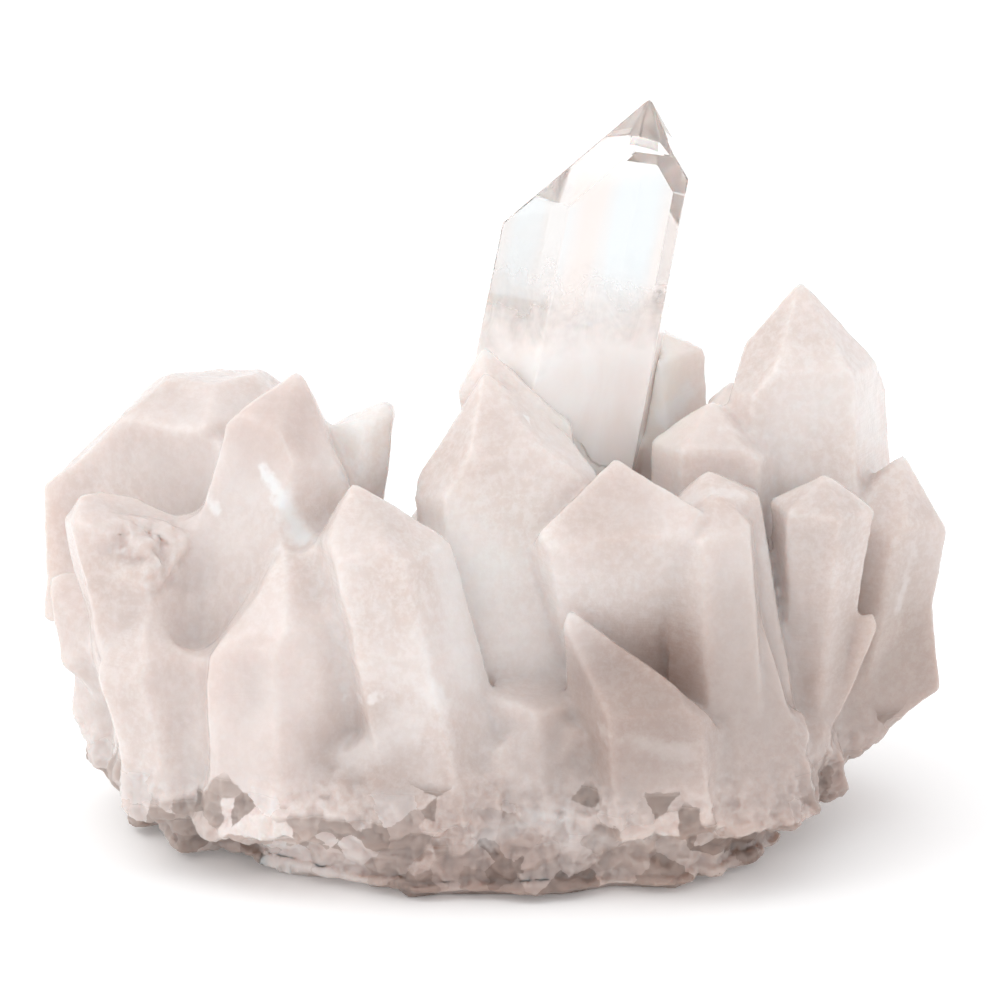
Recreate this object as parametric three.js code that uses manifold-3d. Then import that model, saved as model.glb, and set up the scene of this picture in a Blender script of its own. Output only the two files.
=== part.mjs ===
// A quartz crystal cluster: one tall clear point and many milky points, grown together on a shared quartz base.
// Millimetres, +Z up, +X to the cluster's right and -Y to its front. The origin is under the middle of its box,
// on the flat that it rests on.
import * as THREE from "three";
import { ConvexGeometry } from "three/addons/geometries/ConvexGeometry.js";
import { mergeVertices } from "three/addons/utils/BufferGeometryUtils.js";
import Module from "manifold-3d";

const wasm = await Module();
wasm.setup();

// Driving dimensions
const END_SLOPE = 51.8; // degrees from a crystal's axis to the normal of an end face, as in all quartz
const SIDE_TURN = 60; // degrees from one side face to the next
const NO_DROPS = [0, 0, 0, 0, 0, 0];
const CUT_WIDTH = 400; // the block below the resting flat that cuts the cluster off level
const CUT_DEPTH = 40;
const BASE_CORNERS = 14; // corners on each ring of the base
const LUMP_FACES = 11; // flat faces on each angular lump
const LUMP_NEAREST = 0.6; // its nearest face, as a share of its radius
const GOLDEN_TURN = 2.4; // radians between one face of a lump and the next
const CRUST_SEED = 20; // picks one of the many ways the crust could have grown
const TOUCHING = 1e-5; // a corner this close to a plane lies on it
const PARALLEL = 1e-6; // planes with less spread than this share no corner

// Each crystal: foot and tip of its axis, turn of its first side face about the axis (0 faces +X, 90 faces +Y, 270
// faces the front), the distances of its six side faces from the axis, how far below the tip each of the six end
// faces would meet the axis, and how far the side faces lean in towards the tip, in degrees.
const CRYSTALS = [
  {
    name: "tall_clear", foot: [9, 1, 30], tip: [34, 5, 160], turn: -9,
    sides: [12, 16, 12, 25.5, 19.5, 8.5], taper: 0.5,
  },
  {
    name: "behind_clear", foot: [7, 16, 20], tip: [11, 19, 86], turn: 12,
    sides: [14, 10, 9, 12, 11, 10], taper: 1,
  },
  {
    name: "clear_foot", foot: [6, -14, 55], tip: [-2, -11, 109], turn: 0,
    sides: [16, 10, 7, 7, 8, 11],
  },
  {
    name: "centre", foot: [10, -27, 38], tip: [-2, -19, 105], turn: -25,
    sides: [20, 14, 14, 16, 19, 13], taper: 1,
  },
  {
    name: "front_left", foot: [-14, -49, 14], tip: [-30, -39, 86], turn: 20,
    sides: [16, 12, 12, 10, 14, 16], taper: 2, slope: 48,
  },
  {
    name: "front_low_left", foot: [-42, -46, 12], tip: [-44, -40, 71], turn: 0,
    sides: [13, 12, 12, 17, 15, 12], taper: 3,
  },
  {
    name: "centre_step", foot: [10, -50, 12], tip: [8, -42, 76], turn: 0,
    sides: [9, 9, 9, 9, 8, 8], broken: { at: [8, -46, 42], out: [0.05, -0.25, 1] },
  },
  {
    name: "left_point", foot: [-62, -26, 30], tip: [-42, -18, 105], turn: 0,
    sides: [19, 12, 10, 12, 10, 14],
  },
  {
    name: "left_stub", foot: [-31, -16, 50], tip: [-26, -12, 99], turn: 0,
    sides: [5, 6, 8, 12, 7, 6], drops: [0, 0, 2, 4, 2, 0], slope: 36,
  },
  {
    name: "back_left_block", foot: [-62, 12, 40], tip: [-62, 14, 104], turn: 0,
    sides: [16, 18, 20, 39.5, 20, 18], slope: 40, broken: { at: [-62, 14, 96], out: [-0.05, 0.1, 1] },
  },
  {
    name: "back_left_root", foot: [-52, 14, 6], tip: [-60, 20, 84], turn: 5,
    sides: [14, 18, 18, 30, 18, 14],
  },
  {
    name: "far_left", foot: [-50, -6, 14], tip: [-99, -6, 60], turn: 0,
    sides: [18, 16, 14, 14, 15, 16], drops: [6, 6, 0, 0, 0, 6],
  },
  {
    name: "left_broken", foot: [-70, -26, 14], tip: [-84, -27, 88], turn: 15,
    sides: [12, 10, 10, 10, 10, 12], broken: { at: [-82, -27, 76], out: [0.35, -0.25, 1] },
  },
  {
    name: "left_round", foot: [-68, -38, 14], tip: [-78, -36, 58], turn: 0,
    sides: [9, 9, 9, 9, 9, 9], drops: [0, 3, 2, 1, 3, 0],
  },
  {
    name: "centre_right", foot: [32, -31, 36], tip: [26, -32, 89], turn: 30,
    sides: [20, 12, 20, 21, 13, 20], drops: [0, 0, 0, -14, 0, -14], taper: -5, slope: 48,
  },
  {
    name: "front_right", foot: [50, -44, 12], tip: [47, -34, 82], turn: -10,
    sides: [8, 12, 10, 9.5, 11, 10], taper: 2, slope: 40,
  },
  {
    name: "front_right_flank", foot: [53, -43, 12], tip: [42, -33, 80], turn: 0,
    sides: [8.5, 9, 6, 4, 6, 7], taper: 8,
  },
  {
    name: "right_ridge", foot: [57, -32, 20], tip: [46, -25, 84.5], turn: 0,
    sides: [10, 9, 8, 8, 8, 10], slope: 34,
  },
  {
    name: "right_round", foot: [48, -6, 40], tip: [48, -6, 95.5], turn: 30,
    sides: [14, 12, 12, 12, 11, 14], slope: 38,
  },
  {
    name: "right_tall", foot: [68, 4, 20], tip: [67.5, 5, 120], turn: -23,
    sides: [15, 21, 18, 11, 18.5, 14], taper: 3,
  },
  {
    name: "right_front", foot: [69, -25, 30], tip: [71, -26, 84], turn: 15,
    sides: [10, 10, 10, 10, 10, 10], slope: 36, taper: -5,
  },
  {
    name: "far_right", foot: [82, -4.5, 34], tip: [90, -5, 83], turn: 10,
    sides: [12, 12, 12, 14, 12, 10],
  },
  {
    name: "right_splinter", foot: [73, -26, 30], tip: [82, -28, 54], turn: 0,
    sides: [2.5, 2, 2, 2.5, 2, 2.5],
  },
  {
    name: "behind_tall", foot: [34, 22, 40], tip: [28, 20, 109], turn: 20,
    sides: [17, 12, 12, 12, 12, 15], slope: 30,
  },
  {
    name: "behind_chip", foot: [50, 8, 60], tip: [53, 8, 97], turn: 0,
    sides: [6, 5, 5, 5, 5, 5],
  },
  {
    name: "front_low", foot: [20, -48, 13], tip: [16, -46, 60], turn: 30,
    sides: [26, 14, 1, 2.5, 16, 30], drops: [0, 0, 0, 0, 0, -15],
  },
  {
    name: "back_tall", foot: [14, 36, 10], tip: [14, 48, 98], turn: 12,
    sides: [13, 13, 14, 13, 13, 12], taper: 1,
  },
  {
    name: "back_left", foot: [-30, 32, 10], tip: [-44, 46, 74], turn: 25,
    sides: [14, 13, 12, 14, 13, 12], taper: 2,
  },
  {
    name: "back_right", foot: [42, 34, 10], tip: [54, 46, 84], turn: 5,
    sides: [13, 12, 14, 12, 13, 14], taper: 2,
  },
  {
    name: "back_low", foot: [-6, 42, 8], tip: [-12, 66, 56], turn: 0,
    sides: [12, 11, 12, 12, 11, 12],
  },
  {
    name: "middle_left", foot: [-22, 8, 20], tip: [-24, 12, 67], turn: 15,
    sides: [11, 10, 11, 12, 10, 11],
  },
  {
    name: "middle_back", foot: [-12, 26, 20], tip: [-16, 32, 62], turn: 40,
    sides: [11, 10, 11, 12, 10, 11],
  },
  {
    name: "middle_right", foot: [56, 16, 30], tip: [56, 24, 78], turn: 20,
    sides: [9, 9, 10, 9, 9, 9],
  },
  {
    name: "middle_front", foot: [-24, -2, 20], tip: [-21, -4, 60], turn: 50,
    sides: [8, 7, 8, 9, 7, 8],
  },
  {
    name: "middle_near_left", foot: [-38, 8, 20], tip: [-37, 6, 72], turn: 10,
    sides: [8, 8, 7, 8, 9, 8], taper: 2,
  },
  {
    name: "middle_far_left", foot: [-34, 24, 20], tip: [-32, 22, 58], turn: 30,
    sides: [9, 8, 9, 8, 9, 8],
  },
  {
    name: "middle_low", foot: [-14, -4, 24], tip: [-11, -2, 52], turn: 0,
    sides: [7, 6, 7, 8, 6, 7],
  },
  {
    name: "middle_low_back", foot: [-24, 38, 16], tip: [-24, 42, 52], turn: 15,
    sides: [8, 9, 8, 8, 9, 8],
  },
  {
    name: "back_edge", foot: [6, 40, 6], tip: [10, 68, 38], turn: 45,
    sides: [9, 8, 9, 9, 8, 9],
  },
  {
    name: "back_edge_left", foot: [-30, 44, 4], tip: [-38, 65, 34], turn: 20,
    sides: [9, 8, 9, 9, 8, 9],
  },
  {
    name: "right_edge_back", foot: [61, 20, 20], tip: [84, 27, 52], turn: 35,
    sides: [9, 9, 8, 9, 9, 8],
  },
  {
    name: "back_low_right", foot: [24, 40, 8], tip: [34, 66, 52], turn: 20,
    sides: [12, 11, 12, 12, 11, 12],
  },
  {
    name: "back_low_left", foot: [-46, 30, 8], tip: [-66, 50, 48], turn: 10,
    sides: [12, 11, 12, 12, 11, 12],
  },
  {
    name: "back_far_right", foot: [54, 24, 34], tip: [78, 36, 66], turn: 10,
    sides: [10, 10, 10, 10, 10, 10],
  },
];

// Broken blocks of massive quartz between the crystals and the base, each by its corners.
const BLOCKS = [
  {
    name: "far_right_block",
    points: [
      [97, -8, 51], [99, -10, 30], [97, -2, 27], [80, -18, 20], [70, -22, 13], [68, 10, 10],
      [90, 14, 26], [94, 12, 46], [72, -20, 46], [74, 16, 48],
    ],
  },
  {
    name: "far_left_block",
    points: [
      [-94, -8, 46], [-93, -8, 22], [-84, -14, 9], [-82, 14, 10], [-92, 12, 24], [-92, 10, 46],
      [-60, -30, 40], [-62, 20, 44], [-66, -30, 6],
    ],
  },
];

// The base that the crystals grew from, as rings of an irregular bowl: height, half width, half depth and middle.
const BASE_RINGS = [
  { z: 0, halfX: 56, halfY: 54, midX: 2, midY: -6 },
  { z: 12, halfX: 75, halfY: 60, midX: -6, midY: -2 },
  { z: 24, halfX: 80, halfY: 58, midX: -8, midY: 0 },
  { z: 38, halfX: 60, halfY: 38, midX: -10, midY: 8 },
];

// The crust of small angular blocks round the base, in bands: how many blocks, the band's height, half width, half
// depth and middle, and the blocks' smallest and largest radius.
const CRUST_BANDS = [
  { blocks: 34, z: 5, halfX: 57, halfY: 48, midX: 2, midY: -6, small: 7, large: 11 },
  { blocks: 38, z: 16, halfX: 69, halfY: 53, midX: -6, midY: -3, small: 7, large: 11 },
  { blocks: 30, z: 27, halfX: 69, halfY: 51, midX: -8, midY: -2, small: 6, large: 10 },
];

// Loose-looking broken lumps grown fast between the front crystals: middle and radius.
const LUMPS = [
  { at: [6, -50, 30], radius: 8 },
  { at: [-5, -54, 24], radius: 7 },
  { at: [21, -53, 15], radius: 8 },
  { at: [-66, -37, 22], radius: 8 },
  { at: [-74, -30, 18], radius: 8 },
  { at: [-58, -43, 16], radius: 7 },
  { at: [58, -43, 18], radius: 9 },
  { at: [65, -33, 24], radius: 7 },
  { at: [62, -40, 31], radius: 6 },
  { at: [68, -22, 17], radius: 8 },
];

const quartz = new THREE.MeshStandardMaterial({ color: 0xe6d6cf, roughness: 0.35, metalness: 0 });

const radians = THREE.MathUtils.degToRad;

function vector([x, y, z]) {
  return new THREE.Vector3(x, y, z);
}

function planeAt(normal, point) {
  return new THREE.Plane().setFromNormalAndCoplanarPoint(normal, point);
}

// The planes that bound a crystal.
function crystalPlanes({ foot, tip, turn, sides, drops = NO_DROPS, taper = 0, slope = END_SLOPE, broken }) {
  const footPoint = vector(foot);
  const tipPoint = vector(tip);
  const axis = tipPoint.clone().sub(footPoint).normalize();
  const across = new THREE.Vector3(1, 0, 0).addScaledVector(axis, -axis.x).normalize();
  const deep = axis.clone().cross(across);
  const planes = [planeAt(axis.clone().negate(), footPoint)];
  sides.forEach((side, i) => {
    const angle = radians(turn + SIDE_TURN * i);
    const out = across.clone().multiplyScalar(Math.cos(angle)).addScaledVector(deep, Math.sin(angle));
    const crown = tipPoint.clone().addScaledVector(axis, -drops[i]);
    const endNormal = out.clone().multiplyScalar(Math.sin(radians(slope)));
    endNormal.addScaledVector(axis, Math.cos(radians(slope)));
    planes.push(planeAt(endNormal, crown));
    const shoulder = crown.clone().addScaledVector(axis, -side * Math.tan(radians(slope)));
    shoulder.addScaledVector(out, side);
    const sideNormal = out.clone().multiplyScalar(Math.cos(radians(taper)));
    sideNormal.addScaledVector(axis, Math.sin(radians(taper)));
    planes.push(planeAt(sideNormal, shoulder));
  });
  if (broken) planes.push(planeAt(vector(broken.out).normalize(), vector(broken.at)));
  return planes;
}

// The point that three planes share, or null where they share none.
function sharedPoint(a, b, c) {
  const bc = b.normal.clone().cross(c.normal);
  const spread = a.normal.dot(bc);
  if (Math.abs(spread) < PARALLEL) return null;
  const point = bc.multiplyScalar(-a.constant);
  point.addScaledVector(c.normal.clone().cross(a.normal), -b.constant);
  point.addScaledVector(a.normal.clone().cross(b.normal), -c.constant);
  return point.divideScalar(spread);
}

// The corners of the solid that the planes bound.
function corners(planes) {
  const found = [];
  for (let i = 0; i < planes.length; i++)
    for (let j = i + 1; j < planes.length; j++)
      for (let k = j + 1; k < planes.length; k++) {
        const point = sharedPoint(planes[i], planes[j], planes[k]);
        if (point && planes.every((plane) => plane.distanceToPoint(point) < TOUCHING)) found.push(point);
      }
  return found;
}

// A closed geometry as a manifold-3d solid.
function solidOf(geometry) {
  geometry.deleteAttribute("normal");
  geometry.deleteAttribute("uv");
  const merged = mergeVertices(geometry, 1e-3);
  return new wasm.Manifold(
    new wasm.Mesh({
      numProp: 3,
      vertProperties: merged.getAttribute("position").array,
      triVerts: new Uint32Array(merged.index.array),
    }),
  );
}

function hull(points) {
  return solidOf(new ConvexGeometry(points));
}

// A point on an upright ellipse, for the base and its crust.
function onRing({ halfX, halfY, midX, midY }, angle, z) {
  return new THREE.Vector3(midX + halfX * Math.cos(angle), midY + halfY * Math.sin(angle), z);
}

function base() {
  const points = [];
  BASE_RINGS.forEach((ring, level) => {
    for (let i = 0; i < BASE_CORNERS; i++) {
      const angle = (2 * Math.PI * (i + 0.5 * (level % 2))) / BASE_CORNERS;
      points.push(onRing(ring, angle, ring.z));
    }
  });
  return hull(points);
}

// A repeatable sequence of numbers from 0 to 1.
function numbersFrom(seed) {
  let state = seed;
  return () => {
    state = (state * 16807) % 2147483647;
    return state / 2147483647;
  };
}

const random = numbersFrom(CRUST_SEED);

// One angular lump: flat faces at uneven distances all round its middle.
function lump(middle, radius) {
  const planes = [];
  for (let i = 0; i < LUMP_FACES; i++) {
    const up = 1 - (2 * (i + random())) / LUMP_FACES;
    const around = i * GOLDEN_TURN + random();
    const flat = Math.sqrt(1 - up * up);
    const out = new THREE.Vector3(flat * Math.cos(around), flat * Math.sin(around), up);
    const reach = radius * (LUMP_NEAREST + (1 - LUMP_NEAREST) * random());
    planes.push(planeAt(out, middle.clone().addScaledVector(out, reach)));
  }
  return hull(corners(planes));
}

function crust(band) {
  const blocks = [];
  for (let i = 0; i < band.blocks; i++) {
    const angle = (2 * Math.PI * (i + 0.5 * random())) / band.blocks;
    const radius = band.small + (band.large - band.small) * random();
    const height = band.z + (random() - 0.5) * band.large;
    blocks.push(lump(onRing(band, angle, height), radius));
  }
  return blocks;
}

// Everything below the resting flat.
function below() {
  const block = new THREE.BoxGeometry(CUT_WIDTH, CUT_WIDTH, CUT_DEPTH);
  block.translate(0, 0, -CUT_DEPTH / 2);
  return solidOf(block);
}

// The outermost shell alone, so that no sealed pocket is left between grown-together pieces.
function outermost(solid) {
  return solid.decompose().reduce((largest, shell) => (shell.volume() > largest.volume() ? shell : largest));
}

function meshOf(name, solid, material) {
  const { vertProperties, triVerts } = solid.getMesh();
  const geometry = new THREE.BufferGeometry();
  geometry.setAttribute("position", new THREE.BufferAttribute(new Float32Array(vertProperties), 3));
  geometry.setIndex(new THREE.BufferAttribute(new Uint32Array(triVerts), 1));
  geometry.computeVertexNormals();
  const mesh = new THREE.Mesh(geometry, material);
  mesh.name = name;
  return mesh;
}

const pieces = [
  base(),
  ...BLOCKS.map(({ points }) => hull(points.map(vector))),
  ...LUMPS.map(({ at, radius }) => lump(vector(at), radius)),
  ...CRUST_BANDS.flatMap(crust),
  ...CRYSTALS.map((row) => hull(corners(crystalPlanes(row)))),
];
const grown = pieces.reduce((joined, piece) => joined.add(piece));
const crystalCluster = meshOf("crystal_cluster", outermost(grown.subtract(below())), quartz);

// The origin goes under the middle of the cluster's box.
crystalCluster.geometry.computeBoundingBox();
const middle = crystalCluster.geometry.boundingBox.getCenter(new THREE.Vector3());
crystalCluster.geometry.translate(-middle.x, -middle.y, 0);

const cluster = new THREE.Group();
cluster.add(crystalCluster);

export default cluster;
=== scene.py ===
"""A quartz crystal cluster: a milky body of many points, a tall clear point, and a rough granular base."""

import math

import bpy
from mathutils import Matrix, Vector


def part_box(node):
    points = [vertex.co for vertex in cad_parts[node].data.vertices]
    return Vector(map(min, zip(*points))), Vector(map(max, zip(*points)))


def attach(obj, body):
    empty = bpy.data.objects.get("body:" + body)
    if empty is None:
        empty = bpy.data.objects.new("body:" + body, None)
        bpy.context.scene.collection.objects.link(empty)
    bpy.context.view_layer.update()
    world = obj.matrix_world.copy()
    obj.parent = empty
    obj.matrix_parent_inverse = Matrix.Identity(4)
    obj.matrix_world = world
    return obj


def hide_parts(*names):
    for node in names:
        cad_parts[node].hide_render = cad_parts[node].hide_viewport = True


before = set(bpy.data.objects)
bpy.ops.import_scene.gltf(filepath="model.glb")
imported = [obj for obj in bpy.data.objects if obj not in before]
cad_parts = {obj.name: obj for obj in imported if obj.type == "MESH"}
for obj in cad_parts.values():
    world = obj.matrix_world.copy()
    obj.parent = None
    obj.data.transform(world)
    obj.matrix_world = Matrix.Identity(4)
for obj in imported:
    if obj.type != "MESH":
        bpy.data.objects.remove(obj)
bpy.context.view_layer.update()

MM = 0.001
UP = Vector((0, 0, 1))

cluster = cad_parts["crystal_cluster"]
cluster_low, cluster_high = (Vector(corner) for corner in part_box("crystal_cluster"))
middle = (cluster_low + cluster_high) / 2
width = cluster_high.x - cluster_low.x


def at(x, y, z):
    """A place in millimetres from the middle of the resting flat."""
    return Vector((middle.x + x * MM, middle.y + y * MM, cluster_low.z + z * MM))


# ---------------------------------------------------------------- working on a piece


def only(*pieces):
    bpy.ops.object.select_all(action="DESELECT")
    for piece in pieces:
        piece.select_set(True)
    bpy.context.view_layer.objects.active = pieces[0]


def copy_of(piece, name):
    only(piece)
    bpy.ops.object.duplicate()
    copy = bpy.context.active_object
    copy.name = name
    copy.data.name = name
    copy.data.materials.clear()
    return copy


def settle(piece):
    """Puts the piece's place, turn and size into its mesh."""
    only(piece)
    bpy.ops.object.transform_apply(location=True, rotation=True, scale=True)


def finish_with(piece, kind, **settings):
    only(piece)
    modifier = piece.modifiers.new(kind.title(), kind)
    for key, value in settings.items():
        setattr(modifier, key, value)
    bpy.ops.object.modifier_apply(modifier=modifier.name)


def join_loose_triangles(piece):
    only(piece)
    bpy.ops.object.mode_set(mode="EDIT")
    bpy.ops.mesh.select_all(action="SELECT")
    bpy.ops.mesh.remove_doubles(threshold=0.002 * MM)
    bpy.ops.mesh.dissolve_limited(angle_limit=math.radians(0.3))
    bpy.ops.object.mode_set(mode="OBJECT")


def weigh(piece, name, share):
    """Marks how strongly a later step works at each corner, from 0 to 1."""
    group = piece.vertex_groups.new(name=name)
    for corner in piece.data.vertices:
        amount = share(corner.co)
        if amount > 0:
            group.add([corner.index], min(amount, 1), "REPLACE")
    return group.name


def relief(name, kind, size, **settings):
    texture = bpy.data.textures.new(name, kind)
    texture.noise_scale = size * MM
    for key, value in settings.items():
        setattr(texture, key, value)
    return texture


def roughen(piece, texture, depth, group=""):
    finish_with(
        piece,
        "DISPLACE",
        texture=texture,
        texture_coords="LOCAL",
        strength=depth * MM,
        mid_level=0.5,
        vertex_group=group,
    )


def above(low, high, co):
    """0 at the low height and 1 at the high one, in millimetres above the resting flat, at a corner."""
    return smooth_step(low, high, (co.z - cluster_low.z) / MM)


def smooth_step(low, high, value):
    share = min(max((value - low) / (high - low), 0), 1)
    return share * share * (3 - 2 * share)


# The tall clear crystal: the slope of its end faces in degrees, its middle line, its turn, how far each side
# stands from that line in millimetres, and how much the sides draw in upwards.
END_SLOPE = 51.8
CLEAR_FOOT = at(9.75, -1.38, 30)
CLEAR_TIP = at(34.75, 2.62, 160)
CLEAR_TURN = -9
CLEAR_SIDES = [12, 16, 12, 25.5, 19.5, 8.5]
CLEAR_TAPER = 0.5

# ---------------------------------------------------------------- finishes

# What the finishes share: quartz's index of refraction, how far red, green and blue light spread under the
# skin against one another, and colours.
QUARTZ_INDEX = 1.544
REACH_OF_COLOURS = (1.0, 0.8, 0.72)
PALEST_MILK = (0.885, 0.825, 0.80)
MIDDLE_MILK = (0.845, 0.763, 0.728)
DEEPEST_MILK = (0.785, 0.685, 0.638)
SNOW_AND_GLINT = (0.97, 0.945, 0.935)
# Painted shade towards the foot and the lower right, mixed with darker quartz.
LOW_SMOKE_AND_SHADE = (0.64, 0.57, 0.54)
# The clear crystal's tints: the bluish one paints reflections of the light as stripes, the rosy one is its
# pink tint, the palest is for its end.
REFLECTION_STRIPE_TINT = (0.775, 0.812, 0.825)
ROSY_TINT = (0.825, 0.765, 0.735)
END_TINT = (0.985, 0.955, 0.935)


def new_finish(name):
    finish = bpy.data.materials.new(name)
    finish.use_nodes = True
    finish.node_tree.nodes.clear()
    return finish


def add_node(finish, kind, **settings):
    node = finish.node_tree.nodes.new(kind)
    for key, value in settings.items():
        setattr(node, key, value)
    return node


def link(finish, source, target):
    finish.node_tree.links.new(source, target)


def noise(finish, place, scale, detail=4, roughness=0.5, distortion=0.0):
    node = add_node(finish, "ShaderNodeTexNoise")
    node.inputs["Scale"].default_value = scale
    node.inputs["Detail"].default_value = detail
    node.inputs["Roughness"].default_value = roughness
    node.inputs["Distortion"].default_value = distortion
    link(finish, place, node.inputs["Vector"])
    return node.outputs["Fac"]


def ramp(finish, source, *stops):
    node = add_node(finish, "ShaderNodeValToRGB")
    elements = node.color_ramp.elements
    while len(elements) < len(stops):
        elements.new(0.5)
    for element, (position, colour) in zip(elements, stops):
        element.position = position
        element.color = (*colour, 1)
    link(finish, source, node.inputs["Fac"])
    return node.outputs["Color"]


def grey(value):
    return (value, value, value)


def band(finish, source, start, middle, end, strength=1.0):
    """The strength where noise crosses the middle level, and 0 outside the range: thin wandering lines."""
    return ramp(finish, source, (start, grey(0)), (middle, grey(strength)), (end, grey(0)))


def blend_colours(finish, share, first, second, mode="MIX"):
    node = add_node(finish, "ShaderNodeMix", data_type="RGBA", blend_type=mode)
    if isinstance(share, float):
        node.inputs["Factor"].default_value = share
    else:
        link(finish, share, node.inputs["Factor"])
    for value, socket in ((first, node.inputs["A"]), (second, node.inputs["B"])):
        if isinstance(value, tuple):
            socket.default_value = (*value, 1)
        else:
            link(finish, value, socket)
    return node.outputs["Result"]


def tinted(finish, share, colour, tint):
    """The colour, multiplied by a tint where the share is 1."""
    return blend_colours(finish, share, colour, blend_colours(finish, 1.0, colour, tint, "MULTIPLY"))


def stretched(finish, place, scale):
    node = add_node(finish, "ShaderNodeMapping")
    node.inputs["Scale"].default_value = scale
    link(finish, place, node.inputs["Vector"])
    return node.outputs["Vector"]


def height_share(finish, place, low, high):
    """0 at the low height and 1 at the high one, in millimetres above the resting flat."""
    split = add_node(finish, "ShaderNodeSeparateXYZ")
    link(finish, place, split.inputs["Vector"])
    node = add_node(finish, "ShaderNodeMapRange", interpolation_type="SMOOTHSTEP")
    node.inputs["From Min"].default_value = cluster_low.z + low * MM
    node.inputs["From Max"].default_value = cluster_low.z + high * MM
    link(finish, split.outputs["Z"], node.inputs["Value"])
    return node.outputs["Result"]


def lean_share(finish, place, direction, start, end):
    """0 at the start and 1 at the end of a slow change along a direction, in millimetres."""
    along = add_node(finish, "ShaderNodeVectorMath", operation="DOT_PRODUCT")
    link(finish, place, along.inputs[0])
    along.inputs[1].default_value = direction
    node = add_node(finish, "ShaderNodeMapRange")
    node.inputs["From Min"].default_value = start * MM
    node.inputs["From Max"].default_value = end * MM
    link(finish, along.outputs["Value"], node.inputs["Value"])
    return node.outputs["Result"]


def wandering(finish, place, scale, reach):
    """The place, pushed about by noise, so that a pattern's edges wander."""
    node = add_node(finish, "ShaderNodeTexNoise")
    node.inputs["Scale"].default_value = scale
    node.inputs["Detail"].default_value = 3
    link(finish, place, node.inputs["Vector"])
    centred = add_node(finish, "ShaderNodeVectorMath", operation="SUBTRACT")
    link(finish, node.outputs["Color"], centred.inputs[0])
    centred.inputs[1].default_value = (0.5, 0.5, 0.5)
    pushed = add_node(finish, "ShaderNodeVectorMath", operation="MULTIPLY_ADD")
    link(finish, centred.outputs["Vector"], pushed.inputs[0])
    pushed.inputs[1].default_value = (reach * MM, reach * MM, reach * MM)
    link(finish, place, pushed.inputs[2])
    return pushed.outputs["Vector"]


def near_share(finish, place, centre, radius):
    """1 at a place and 0 from a radius in millimetres outwards."""
    apart = add_node(finish, "ShaderNodeVectorMath", operation="DISTANCE")
    link(finish, place, apart.inputs[0])
    apart.inputs[1].default_value = centre
    node = add_node(finish, "ShaderNodeMapRange", interpolation_type="SMOOTHSTEP")
    node.inputs["From Min"].default_value = radius * MM
    node.inputs["From Max"].default_value = 0.3 * radius * MM
    link(finish, apart.outputs["Value"], node.inputs["Value"])
    return node.outputs["Result"]


# Where the milk is tinted darker or lighter, a middle, a reach in millimetres and a tint: partly smokier and
# whiter quartz, partly painted shade in the clefts and under overhangs between crystals, and painted light
# lifting shaded faces and the foot.
SMOKE_SHADE_AND_LIGHT_PLACES = [
    (at(27, -60, 40), 26, (0.72, 0.66, 0.63)),
    (at(22, -56, 52), 13, (0.88, 0.87, 0.87)),
    (at(2, -38, 74), 18, (1.05, 1.06, 1.06)),
    (at(-3, -33, 93), 15, (0.95, 0.93, 0.92)),
    (at(-88, -10, 70), 75, (0.915, 0.89, 0.88)),
    (at(-51, -57, 42), 32, (0.95, 0.91, 0.895)),
    (at(-28, -55, 82), 16, (0.9, 0.88, 0.87)),
    (at(-26, -62, 33), 18, (0.82, 0.785, 0.77)),
    (at(-27, -22, 90), 14, (1.06, 1.08, 1.08)),
    (at(40, -48, 48), 13, (0.86, 0.81, 0.79)),
    (at(26, -42, 80), 17, (0.88, 0.84, 0.82)),
    (at(51, -50, 50), 31, (0.82, 0.785, 0.765)),
    (at(70, -38, 78), 17, (0.88, 0.87, 0.865)),
    (at(86, -22, 44), 26, (0.92, 0.9, 0.88)),
    (at(50, -18, 90), 15, (0.93, 0.91, 0.9)),
    (at(-45, -28, 95), 18, (0.9, 0.85, 0.83)),
    (at(-6, -66, 8), 26, (0.88, 0.83, 0.81)),
    (at(41, -62, 9), 24, (1.2, 1.2, 1.19)),
    (at(-42, -60, 6), 26, (1.25, 1.26, 1.27)),
    (at(50, -40, 80), 16, (0.93, 0.9, 0.885)),
]

# The whiter milk round the root of the clear crystal, also painted light that lifts this shaded nook between
# the tall crystals: its middle and reach, and its colour.
CLEAR_ROOT = (at(24, 0, 98), 36)
CLEAR_ROOT_MILK_AND_LIGHT = (0.99, 0.885, 0.835)

# White veils and cracks in the milk, and painted glints and painted light along lit edges and faces: where
# each starts and ends, its reach in millimetres and its strength.
SNOWY_LINES_AND_GLINTS = [
    (at(-48.6, -33.3, 85.9), at(-43.6, -36.8, 80.2), 2.2, 0.9),
    (at(-43.6, -36.8, 80.2), at(-40.5, -37.2, 72.6), 3.6, 0.9),
    (at(-61, -24, 80), at(-59, -29.5, 76), 1.8, 0.8),
    (at(-10, -50.6, 72), at(-5, -55.5, 46), 5.0, 0.35),
    (at(-28, -58.3, 30), at(-16.7, -63.7, 38.8), 7.0, 0.4),
    (at(-12.4, -63.7, 46), at(-9.3, -62.6, 42.8), 3.5, 0.5),
    (at(-30.6, -54.2, 41.6), at(-23.4, -61.9, 44.3), 1.4, 0.5),
    (at(38.8, 4.8, 87.9), at(44.6, 11.4, 92.5), 4.0, 0.9),
    (at(7.5, -27.3, 95.8), at(7.2, -31, 93.6), 1.2, 0.9),
    (at(24.1, -63.2, 37), at(41.8, -65.8, 33), 3.0, 0.2),
    (at(-2.1, -63.9, 14.5), at(14.8, -60.8, 17.2), 4.5, 0.35),
    (at(16, -63, 13), at(34, -61, 14), 4.0, 0.25),
    (at(42.7, -33.8, 79.4), at(52.3, -34.3, 80.7), 3.5, 0.45),
    (at(89.8, -17, 50), at(92, -15, 66), 2.0, 0.3),
    (at(-52, -20, 97), at(-36, -22, 88), 2.0, 0.4),
    (at(50, -15, 90), at(62, -14, 88), 1.6, 0.35),
]


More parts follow.
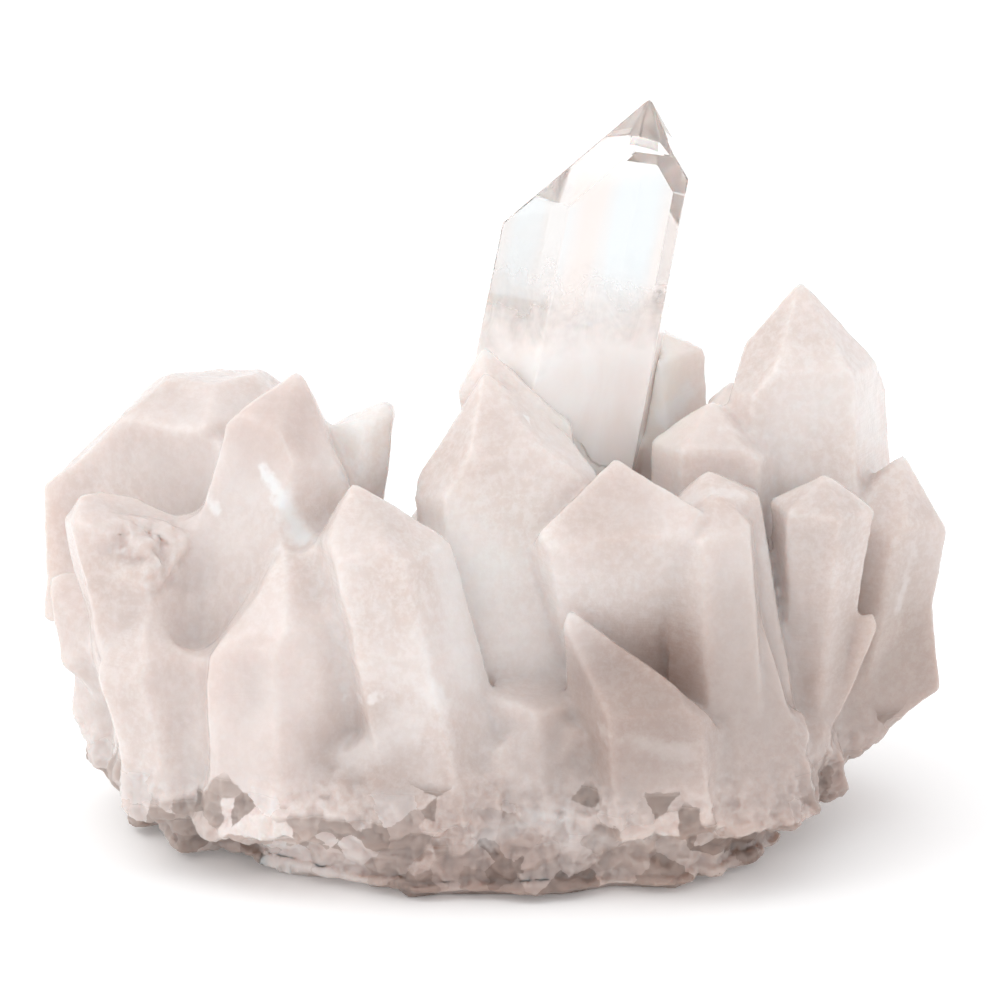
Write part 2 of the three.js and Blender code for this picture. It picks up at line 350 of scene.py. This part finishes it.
def line_share(finish, place, start, end, reach, strength):
    """The strength on the line between two places, falling to 0 at the reach in millimetres."""
    span = end - start
    from_start = add_node(finish, "ShaderNodeVectorMath", operation="SUBTRACT")
    link(finish, place, from_start.inputs[0])
    from_start.inputs[1].default_value = start
    along = add_node(finish, "ShaderNodeVectorMath", operation="DOT_PRODUCT")
    link(finish, from_start.outputs["Vector"], along.inputs[0])
    along.inputs[1].default_value = span / span.length_squared
    held = add_node(finish, "ShaderNodeMath", operation="ADD", use_clamp=True)
    link(finish, along.outputs["Value"], held.inputs[0])
    held.inputs[1].default_value = 0
    nearest = add_node(finish, "ShaderNodeVectorMath", operation="SCALE")
    nearest.inputs[0].default_value = span
    link(finish, held.outputs["Value"], nearest.inputs["Scale"])
    apart = add_node(finish, "ShaderNodeVectorMath", operation="DISTANCE")
    link(finish, from_start.outputs["Vector"], apart.inputs[0])
    link(finish, nearest.outputs["Vector"], apart.inputs[1])
    node = add_node(finish, "ShaderNodeMapRange", interpolation_type="SMOOTHSTEP")
    node.inputs["From Min"].default_value = reach * MM
    node.inputs["From Max"].default_value = 0.2 * reach * MM
    node.inputs["To Max"].default_value = strength
    link(finish, apart.outputs["Value"], node.inputs["Value"])
    return node.outputs["Result"]


def crust_patches(finish, place):
    """The small angular grains of the base: their tints, and which of them reach up over the milk."""
    patches = add_node(finish, "ShaderNodeTexVoronoi", feature="F1", distance="EUCLIDEAN")
    patches.inputs["Scale"].default_value = 150
    link(finish, wandering(finish, place, 600, 1.4), patches.inputs["Vector"])
    pick = add_node(finish, "ShaderNodeSeparateColor")
    link(finish, patches.outputs["Color"], pick.inputs["Color"])
    tints = ramp(
        finish,
        pick.outputs["Red"],
        (0.1, (0.46, 0.385, 0.35)),
        (0.4, (0.58, 0.5, 0.46)),
        (0.7, (0.7, 0.62, 0.585)),
        (0.95, (0.87, 0.82, 0.8)),
    )
    low = height_share(finish, place, 31, 8)
    reach = add_node(finish, "ShaderNodeMath", operation="SUBTRACT")
    link(finish, low, reach.inputs[0])
    link(finish, pick.outputs["Green"], reach.inputs[1])
    share = ramp(finish, reach.outputs["Value"], (0.0, grey(0)), (0.12, grey(1)))
    steps = blend_colours(finish, 1.0, share, pick.outputs["Blue"], "MULTIPLY")
    return tints, share, steps


def milk_colour(finish, place):
    """Slow clouds, with drawn-out wisps, fine threads and mottles of whiter milk."""
    milk = ramp(
        finish,
        noise(finish, place, 30, 3, 0.5, 0.3),
        (0.32, DEEPEST_MILK),
        (0.52, MIDDLE_MILK),
        (0.7, PALEST_MILK),
    )
    drawn_out = stretched(finish, place, (1, 1, 0.45))
    wisps = ramp(finish, noise(finish, drawn_out, 130, 6, 0.65, 1.0), (0.53, grey(0)), (0.9, grey(0.8)))
    milk = blend_colours(finish, wisps, milk, (0.92, 0.875, 0.86))
    threads = band(finish, noise(finish, drawn_out, 60, 3, 0.5, 0.2), 0.47, 0.5, 0.53)
    thread_places = ramp(finish, noise(finish, place, 27, 2), (0.5, grey(0)), (0.66, grey(0.3)))
    threads = blend_colours(finish, 1.0, threads, thread_places, "MULTIPLY")
    milk = blend_colours(finish, threads, milk, (0.96, 0.93, 0.92))
    mottles = ramp(finish, noise(finish, place, 520, 3, 0.75), (0.42, grey(0)), (0.62, grey(0.5)))
    return blend_colours(finish, mottles, milk, (0.93, 0.885, 0.868))


def bump(finish, strength, depth, relief_source, under=None):
    """Fine relief in the light only, over any bump that lies under it. The depth is in millimetres."""
    node = add_node(finish, "ShaderNodeBump")
    node.inputs["Strength"].default_value = strength
    node.inputs["Distance"].default_value = depth * MM
    link(finish, relief_source, node.inputs["Height"])
    if under is not None:
        link(finish, under, node.inputs["Normal"])
    return node.outputs["Normal"]


def milky_finish():
    finish = new_finish("milky_quartz")
    output = add_node(finish, "ShaderNodeOutputMaterial")
    shader = add_node(finish, "ShaderNodeBsdfPrincipled")
    place = add_node(finish, "ShaderNodeTexCoord").outputs["Object"]
    crust, crust_share, crust_steps = crust_patches(finish, place)
    body = blend_colours(finish, crust_share, milk_colour(finish, place), crust)
    # Darker towards the foot and the lower right: partly darker quartz low down, partly painted shade away
    # from the light at the upper left.
    body = tinted(finish, lean_share(finish, place, (-0.32, 0, 1), 52, -6), body, LOW_SMOKE_AND_SHADE)
    # Painted shade and painted light at the listed places, with smokier and whiter quartz.
    for centre, radius, tint in SMOKE_SHADE_AND_LIGHT_PLACES:
        body = tinted(finish, near_share(finish, place, centre, radius), body, tint)
    # Whiter milk at the clear crystal's root, also painted light in that shaded nook.
    body = blend_colours(finish, near_share(finish, place, *CLEAR_ROOT), body, CLEAR_ROOT_MILK_AND_LIGHT)
    frayed = wandering(finish, place, 350, 4)
    # White veils and cracks, with painted glints and painted light on lit edges.
    for start, end, reach, strength in SNOWY_LINES_AND_GLINTS:
        body = blend_colours(finish, line_share(finish, frayed, start, end, reach, strength), body, SNOW_AND_GLINT)
    link(finish, body, shader.inputs["Base Color"])
    dullness = ramp(finish, crust_share, (0.0, grey(0.16)), (1.0, grey(0.32)))
    link(finish, dullness, shader.inputs["Roughness"])
    shader.inputs["IOR"].default_value = QUARTZ_INDEX
    shader.inputs["Subsurface Weight"].default_value = 1.0
    shader.inputs["Subsurface Radius"].default_value = REACH_OF_COLOURS
    shader.inputs["Subsurface Scale"].default_value = 5 * MM
    shader.inputs["Transmission Weight"].default_value = 0.2
    growth_lines = noise(finish, stretched(finish, place, (0.05, 0.05, 1)), 900, 3, 0.6)
    skin = noise(finish, place, 700, 4, 0.75)
    fine_relief = bump(finish, 0.34, 0.6, blend_colours(finish, 0.5, growth_lines, skin))
    link(finish, bump(finish, 0.7, 0.9, crust_steps, fine_relief), shader.inputs["Normal"])
    link(finish, shader.outputs["BSDF"], output.inputs["Surface"])
    return finish


def clear_finish():
    """Clear quartz, faintly rosy, with clearer bluish stripes along the crystal that are painted reflections
    of the light on its faces, turning milky towards its root.
    """
    finish = new_finish("clear_quartz")
    output = add_node(finish, "ShaderNodeOutputMaterial")
    shader = add_node(finish, "ShaderNodeBsdfPrincipled")
    place = add_node(finish, "ShaderNodeTexCoord").outputs["Object"]
    lean = (CLEAR_TIP.x - CLEAR_FOOT.x) / (CLEAR_TIP.z - CLEAR_FOOT.z)
    from_tip = add_node(finish, "ShaderNodeVectorMath", operation="SUBTRACT")
    link(finish, wandering(finish, stretched(finish, place, (1, 1, 0.5)), 60, 6), from_tip.inputs[0])
    from_tip.inputs[1].default_value = (CLEAR_TIP.x, CLEAR_TIP.y, 0.5 * CLEAR_TIP.z)
    across = lean_share(finish, from_tip.outputs["Vector"], (1, 0, -2 * lean), -30, 12)
    # Stripes along the crystal: the clearer, bluish ones are painted reflections of the light on the faces,
    # the rosy ones between them are the crystal's pink tint.
    reflection_stripes = ramp(
        finish,
        across,
        (0.1, grey(1)),
        (0.15, grey(0.1)),
        (0.37, grey(0.1)),
        (0.43, grey(1)),
        (0.55, grey(0.9)),
        (0.6, grey(0)),
        (0.84, grey(0)),
        (0.9, grey(1)),
    )
    low = height_share(finish, wandering(finish, place, 90, 24), 125, 103)
    rosy = blend_colours(finish, 1.0, reflection_stripes, low, "LIGHTEN")
    tint = blend_colours(finish, rosy, REFLECTION_STRIPE_TINT, ROSY_TINT)
    tint = blend_colours(finish, height_share(finish, place, 141, 149), tint, END_TINT)
    drawn_out = stretched(finish, place, (1, 1, 0.6))
    wisps = ramp(finish, noise(finish, drawn_out, 150, 6, 0.65, 1.2), (0.32, grey(0)), (0.6, grey(1)))
    milk = blend_colours(finish, 1.0, low, blend_colours(finish, low, wisps, grey(1)), "MULTIPLY")
    veils = ramp(finish, noise(finish, drawn_out, 55, 5, 0.6, 0.8), (0.35, grey(0)), (0.65, grey(1)))
    veiled_milk = blend_colours(finish, veils, (0.9, 0.83, 0.8), (0.955, 0.92, 0.905))
    link(finish, blend_colours(finish, milk, tint, veiled_milk), shader.inputs["Base Color"])
    clearness = ramp(finish, milk, (0.0, grey(0.97)), (1.0, grey(0.14)))
    link(finish, clearness, shader.inputs["Transmission Weight"])
    shader.inputs["Subsurface Weight"].default_value = 0.6
    shader.inputs["Subsurface Radius"].default_value = REACH_OF_COLOURS
    shader.inputs["Subsurface Scale"].default_value = 4 * MM
    shader.inputs["Roughness"].default_value = 0.02
    shader.inputs["IOR"].default_value = QUARTZ_INDEX
    link(finish, shader.outputs["BSDF"], output.inputs["Surface"])
    absorb = add_node(finish, "ShaderNodeVolumeAbsorption")
    absorb.inputs["Color"].default_value = (0.95, 0.87, 0.83, 1)
    absorb.inputs["Density"].default_value = 2.5
    link(finish, absorb.outputs["Volume"], output.inputs["Volume"])
    return finish


def white_finish():
    """Fine cracks and veins, where the crystal is snow white, and a painted reflection of the light near the
    tip.
    """
    finish = new_finish("white_cracks_and_glints")
    output = add_node(finish, "ShaderNodeOutputMaterial")
    shader = add_node(finish, "ShaderNodeBsdfPrincipled")
    shader.inputs["Base Color"].default_value = (0.98, 0.965, 0.96, 1)
    shader.inputs["Roughness"].default_value = 0.35
    shader.inputs["Subsurface Weight"].default_value = 0.5
    shader.inputs["Subsurface Scale"].default_value = 1 * MM
    link(finish, shader.outputs["BSDF"], output.inputs["Surface"])
    return finish


milky_quartz = milky_finish()
clear_quartz = clear_finish()
white_cracks_and_glints = white_finish()

# ---------------------------------------------------------------- the tall clear crystal


def clear_planes(grown):
    """The tall clear crystal's faces, each a point and an outward direction, grown by some millimetres."""
    axis = (CLEAR_TIP - CLEAR_FOOT).normalized()
    across = (Vector((1, 0, 0)) - axis * axis.x).normalized()
    deep = axis.cross(across)
    planes = []
    for i, side in enumerate(CLEAR_SIDES):
        angle = math.radians(CLEAR_TURN + 60 * i)
        out = across * math.cos(angle) + deep * math.sin(angle)
        slope = math.radians(END_SLOPE)
        end = out * math.sin(slope) + axis * math.cos(slope)
        planes.append((CLEAR_TIP + end * grown * MM, end))
        shoulder = CLEAR_TIP - axis * side * MM * math.tan(slope) + out * side * MM
        lean = math.radians(CLEAR_TAPER)
        side_out = out * math.cos(lean) + axis * math.sin(lean)
        planes.append((shoulder + side_out * grown * MM, side_out))
    return planes


def cleaved_block(name, planes):
    """A block cut to shape by one flat cut after another."""
    bpy.ops.object.select_all(action="DESELECT")
    bpy.ops.mesh.primitive_cube_add(size=2 * width, location=middle)
    piece = bpy.context.active_object
    piece.name = name
    piece.data.name = name
    settle(piece)
    bpy.ops.object.mode_set(mode="EDIT")
    for point, out in planes:
        bpy.ops.mesh.select_all(action="SELECT")
        bpy.ops.mesh.bisect(plane_co=point, plane_no=out, clear_outer=True, use_fill=True)
    bpy.ops.mesh.select_all(action="SELECT")
    bpy.ops.mesh.normals_make_consistent(inside=False)
    bpy.ops.object.mode_set(mode="OBJECT")
    return piece


def milk_mound(name, lift):
    """The milk that the tall clear crystal stands on: an uneven mound, lifted by some millimetres."""
    mound = cleaved_block(
        name,
        [
            (at(20, 0, 84), Vector((0.42, -0.1, 1))),
            (at(0, 0, 54), -UP),
            (at(-20, 0, 0), Vector((-1, 0, 0))),
            (at(62, 0, 0), Vector((1, 0, 0))),
            (at(0, -40, 0), Vector((0, -1, 0))),
            (at(0, 40, 0), Vector((0, 1, 0))),
        ],
    )
    finish_with(mound, "REMESH", mode="VOXEL", voxel_size=1.1 * MM)
    top = weigh(mound, "top", lambda co: above(58, 68, co))
    roughen(mound, relief("mound_lumps", "CLOUDS", 13, noise_depth=1), 15, top)
    roughen(mound, relief("mound_grain", "CLOUDS", 4, noise_depth=2), 3, top)
    mound.location.z = lift * MM
    settle(mound)
    return mound


lowest_cut = (at(0, 0, 56), -UP)
clear_crystal = cleaved_block("clear_crystal", clear_planes(0) + [lowest_cut])
finish_with(
    clear_crystal,
    "BEVEL",
    width=0.35 * MM,
    segments=2,
    limit_method="ANGLE",
    angle_limit=math.radians(20),
)
clear_space = cleaved_block("clear_space", clear_planes(0.1) + [lowest_cut])
for block, lift in ((clear_crystal, 0), (clear_space, 0.4)):
    mound = milk_mound("mound", lift)
    finish_with(block, "BOOLEAN", object=mound, operation="DIFFERENCE", solver="EXACT")
    bpy.data.objects.remove(mound)


def fleck(place, size, turn):
    """A small flat white plate, sealed in the crystal: most are white cracks, one is a painted reflection of
    the light.
    """
    bpy.ops.object.select_all(action="DESELECT")
    bpy.ops.mesh.primitive_cube_add(size=MM, location=place)
    piece = bpy.context.active_object
    piece.scale = size
    piece.rotation_euler = [math.radians(angle) for angle in turn]
    settle(piece)
    finish_with(piece, "SUBSURF", levels=2, subdivision_type="SIMPLE")
    roughen(piece, relief("crack_edges", "CLOUDS", 1.2, noise_depth=1), 0.6)
    return piece


FLECKS_AND_GLINTS = [
    # The first plate, near the tip, is a painted reflection of the light in the end face; the others are
    # white cracks, with their sparkle painted white.
    (at(33.4, -2.6, 150.5), (5.4, 0.3, 2.2), (0, 12, 0)),
    (at(17.3, -9.2, 112.4), (2.4, 0.3, 0.8), (20, -25, 0)),
    (at(18.6, -9.2, 111.2), (0.8, 0.3, 2.2), (10, 12, 20)),
    (at(20.8, -8.4, 112.0), (2.2, 0.3, 0.6), (35, -12, 0)),
    (at(7, -5.5, 111), (2.2, 0.3, 0.7), (30, 25, 0)),
]

# ---------------------------------------------------------------- the milky body

milky_body = copy_of(cluster, "milky_body")
join_loose_triangles(milky_body)
finish_with(milky_body, "BOOLEAN", object=clear_space, operation="DIFFERENCE", solver="EXACT")
bpy.data.objects.remove(clear_space)
FINE = 0.6 * MM
finish_with(milky_body, "REMESH", mode="VOXEL", voxel_size=FINE)


def far_from_clear(co):
    apart = (co - at(22, -2, 110)).length / MM
    return smooth_step(34, 42, apart)


def grown_together(co):
    """Where neighbouring crystals have run into one another: along the left and all round the foot."""
    left = smooth_step(-22, -48, (co.x - middle.x) / MM) * above(104, 84, co)
    foot = above(44, 22, co)
    return max(left, foot) * above(0.8, 4, co) * far_from_clear(co)


MERGE = 2.4
for step in (MERGE, MERGE, -MERGE, -MERGE):
    together = weigh(milky_body, "together", grown_together)
    finish_with(milky_body, "DISPLACE", strength=step * MM, mid_level=0, vertex_group=together)
    finish_with(milky_body, "REMESH", mode="VOXEL", voxel_size=FINE)
finish_with(milky_body, "SMOOTH", factor=0.5, iterations=2)


def hollow(name, place, radius, depth):
    """Sinks the skin around a place, as a scar where a neighbour grew."""
    sunk = weigh(milky_body, name, lambda co: smooth_step(radius * MM, 0, (co - place).length))
    finish_with(milky_body, "DISPLACE", strength=depth * MM, mid_level=0, direction="Y", vertex_group=sunk)


hollow("hollow_front_left", at(-48, -60, 44), 15, 5)
hollow("hollow_upper_left", at(-78, -41, 71), 8, 4)
hollow("hollow_broken_top", at(-70, -38, 72), 7, 5)
BROKEN_TOP = at(-72, -38, 71)
broken_top = weigh(
    milky_body,
    "broken_top",
    lambda co: smooth_step(13 * MM, 6 * MM, (co - BROKEN_TOP).length),
)
roughen(milky_body, relief("chips", "VORONOI", 5, distance_metric="MANHATTAN"), 2.2, broken_top)
roughen(milky_body, relief("splinters", "CLOUDS", 2.4, noise_depth=2), 1.0, broken_top)
base_rough = weigh(milky_body, "base_rough", lambda co: above(34, 14, co) * above(1, 3.5, co))
roughen(milky_body, relief("broken_faces", "VORONOI", 9, distance_metric="MANHATTAN"), 2.3, base_rough)
roughen(milky_body, relief("broken_grain", "VORONOI", 3, distance_metric="MANHATTAN"), 0.9, base_rough)
roughen(milky_body, relief("broken_dust", "CLOUDS", 1.6, noise_depth=2), 0.8, base_rough)
above_flat = weigh(milky_body, "above_flat", lambda co: above(1, 6, co))


def waviness(co):
    """The faces are wavier towards the left."""
    return above(1, 6, co) * (0.35 + 0.65 * smooth_step(middle.x + 5 * MM, middle.x - 35 * MM, co.x))


wavy = weigh(milky_body, "wavy", waviness)
roughen(milky_body, relief("slow_waves", "CLOUDS", 15, noise_depth=1), 2.4, wavy)
roughen(milky_body, relief("small_waves", "CLOUDS", 4.5, noise_depth=2), 0.35, above_flat)
BODY_TRIANGLES = 190000
finish_with(milky_body, "TRIANGULATE")
finish_with(milky_body, "DECIMATE", ratio=min(1, BODY_TRIANGLES / len(milky_body.data.polygons)))
only(milky_body)
bpy.ops.object.shade_smooth()
milky_body.data.materials.append(milky_quartz)
clear_crystal.data.materials.append(clear_quartz)
clear_crystal.visible_shadow = False

flecks = [fleck(place, size, turn) for place, size, turn in FLECKS_AND_GLINTS]
only(*flecks)
bpy.ops.object.join()
white_flecks_and_glints = bpy.context.active_object
white_flecks_and_glints.name = "white_flecks_and_glints"
white_flecks_and_glints.data.name = "white_flecks_and_glints"
bpy.ops.object.shade_smooth()
white_flecks_and_glints.data.materials.append(white_cracks_and_glints)

# ---------------------------------------------------------------- bodies, floor, light and camera

SLOTS = ((milky_body, "milky_quartz"), (clear_crystal, "clear_quartz"), (white_flecks_and_glints, "milky_quartz"))
for piece, slot in SLOTS:
    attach(piece, "root")
    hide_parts("crystal_cluster")

bpy.ops.object.select_all(action="DESELECT")
bpy.ops.mesh.primitive_plane_add(size=12, location=(0, 0, cluster_low.z - 0.0002))
floor = bpy.context.active_object
floor.name = "floor"
floor_finish = new_finish("white_floor")
floor_output = add_node(floor_finish, "ShaderNodeOutputMaterial")
floor_shader = add_node(floor_finish, "ShaderNodeBsdfPrincipled")
floor_shader.inputs["Base Color"].default_value = (0.95, 0.95, 0.95, 1)
floor_shader.inputs["Roughness"].default_value = 0.8
floor_shader.inputs["Emission Color"].default_value = (1, 1, 1, 1)
floor_shader.inputs["Emission Strength"].default_value = 0.1
floor_finish.cycles.emission_sampling = "NONE"
link(floor_finish, floor_shader.outputs["BSDF"], floor_output.inputs["Surface"])
floor.data.materials.append(floor_finish)

world = bpy.data.worlds.new("soft_room")
bpy.context.scene.world = world
world.use_nodes = True
sky = world.node_tree.nodes["Background"]
sky.inputs["Strength"].default_value = 1.25
facing = world.node_tree.nodes.new("ShaderNodeTexCoord")
left_to_right = world.node_tree.nodes.new("ShaderNodeVectorMath")
left_to_right.operation = "DOT_PRODUCT"
left_to_right.inputs[1].default_value = (-0.75, 0.25, 0.6)
sky_ramp = world.node_tree.nodes.new("ShaderNodeValToRGB")
sky_ramp.color_ramp.elements[0].color = (0.84, 0.84, 0.85, 1)
sky_ramp.color_ramp.elements[1].color = (1, 1, 1, 1)
world.node_tree.links.new(facing.outputs["Generated"], left_to_right.inputs[0])
world.node_tree.links.new(left_to_right.outputs["Value"], sky_ramp.inputs["Fac"])
world.node_tree.links.new(sky_ramp.outputs["Color"], sky.inputs["Color"])


def soft_light(name, place, aim, size, power):
    lamp = bpy.data.lights.new(name, "AREA")
    lamp.shape = "SQUARE"
    lamp.size = size
    lamp.energy = power
    holder = bpy.data.objects.new(name, lamp)
    bpy.context.scene.collection.objects.link(holder)
    holder.location = place
    holder.rotation_euler = (aim - place).to_track_quat("-Z", "Y").to_euler()
    return holder


soft_light("overhead_light", Vector((-0.75, -0.1, 0.9)), at(0, 0, 60), 0.7, 2)
light_paths = bpy.context.scene.cycles
light_paths.max_bounces = 12
light_paths.diffuse_bounces = 4
light_paths.glossy_bounces = 8
light_paths.transmission_bounces = 12

TARGET = at(2.15, -2.38, 71)
ELEVATION = math.radians(15)
DISTANCE = 0.9
FOCAL_LENGTH = 146.27
FRAME_WIDTH = 36
camera_data = bpy.data.cameras.new("camera")
camera_data.lens = FOCAL_LENGTH
camera_data.sensor_width = FRAME_WIDTH
camera = bpy.data.objects.new("camera", camera_data)
bpy.context.scene.collection.objects.link(camera)
camera.location = TARGET + DISTANCE * Vector((0, -math.cos(ELEVATION), math.sin(ELEVATION)))
camera.rotation_euler = (TARGET - camera.location).to_track_quat("-Z", "Y").to_euler()
bpy.context.scene.camera = camera
bpy.context.scene.view_settings.view_transform = "Standard"
